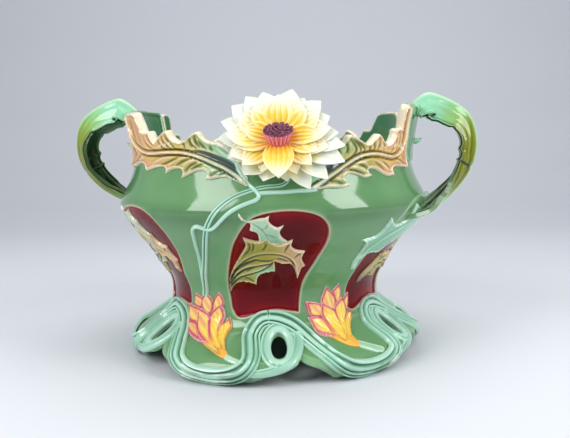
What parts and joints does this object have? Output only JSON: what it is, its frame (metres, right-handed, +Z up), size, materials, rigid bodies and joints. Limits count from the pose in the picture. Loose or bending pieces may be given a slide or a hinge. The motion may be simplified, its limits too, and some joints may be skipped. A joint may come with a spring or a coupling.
{
  "type": "jardiniere",
  "caption": "Round waisted glazed jardiniere with recessed window panels, leaf-strap handles, water-lily relief and a lobed, pierced ribbon foot.",
  "frame": {"origin": "on the ground under the middle of the bowl", "axes": "+Z up, +X to the handle at the right, -Y to the front lily"},
  "size_m": [0.4102, 0.3478, 0.2554],
  "materials": {
    "green_glaze": "glossy coloured lead-type glaze over relief, pooled darker in the hollows",
    "dark_red_glaze": "glossy coloured lead-type glaze over relief, pooled darker in the hollows",
    "olive_leaf_glaze": "glossy coloured lead-type glaze over relief, pooled darker in the hollows",
    "mint_glaze": "glossy coloured lead-type glaze over relief, pooled darker in the hollows",
    "bud_glaze": "glossy coloured lead-type glaze over relief, pooled darker in the hollows",
    "rim_leaf_glaze": "glossy coloured lead-type glaze over relief, pooled darker in the hollows",
    "white_glaze": "glossy coloured lead-type glaze over relief, pooled darker in the hollows",
    "yellow_glaze": "glossy coloured lead-type glaze over relief, pooled darker in the hollows",
    "pink_glaze": "glossy coloured lead-type glaze over relief, pooled darker in the hollows",
    "plum_glaze": "glossy coloured lead-type glaze over relief, pooled darker in the hollows",
    "handle_glaze": "glossy coloured lead-type glaze over relief, pooled darker in the hollows"
  },
  "bodies": {
    "root": {"bowl": "green_glaze", "foot_skirt": "green_glaze", "window_glaze_1": "dark_red_glaze", "window_leaf_1": "olive_leaf_glaze", "foot_ribbon_1": "mint_glaze", "curl_loop_1": "mint_glaze", "window_glaze_2": "dark_red_glaze", "window_leaf_2": "olive_leaf_glaze", "foot_ribbon_2": "mint_glaze", "curl_loop_2": "mint_glaze", "window_glaze_3": "dark_red_glaze", "window_leaf_3": "olive_leaf_glaze", "foot_ribbon_3": "mint_glaze", "curl_loop_3": "mint_glaze", "window_glaze_4": "dark_red_glaze", "window_leaf_4": "olive_leaf_glaze", "foot_ribbon_4": "mint_glaze", "curl_loop_4": "mint_glaze", "window_glaze_5": "dark_red_glaze", "window_leaf_5": "olive_leaf_glaze", "foot_ribbon_5": "mint_glaze", "curl_loop_5": "mint_glaze", "window_glaze_6": "dark_red_glaze", "window_leaf_6": "olive_leaf_glaze", "foot_ribbon_6": "mint_glaze", "curl_loop_6": "mint_glaze", "bud_front_left": "bud_glaze", "bud_front_right": "bud_glaze", "stems_front": "mint_glaze", "rim_leaf_front_left": "rim_leaf_glaze", "rim_leaf_front_right": "rim_leaf_glaze", "lily_outer_petals_front": "white_glaze", "lily_inner_petals_front": "yellow_glaze", "lily_stamens_front": "pink_glaze", "lily_seed_head_front": "plum_glaze", "bud_back_left": "bud_glaze", "bud_back_right": "bud_glaze", "stems_back": "mint_glaze", "rim_leaf_back_left": "rim_leaf_glaze", "rim_leaf_back_right": "rim_leaf_glaze", "lily_outer_petals_back": "white_glaze", "lily_inner_petals_back": "yellow_glaze", "lily_stamens_back": "pink_glaze", "lily_seed_head_back": "plum_glaze", "handle_right": "handle_glaze", "handle_tail_right": "mint_glaze", "rim_tab_right": "rim_leaf_glaze", "handle_left": "handle_glaze", "handle_tail_left": "mint_glaze", "rim_tab_left": "rim_leaf_glaze"}
  },
  "joints": []
}
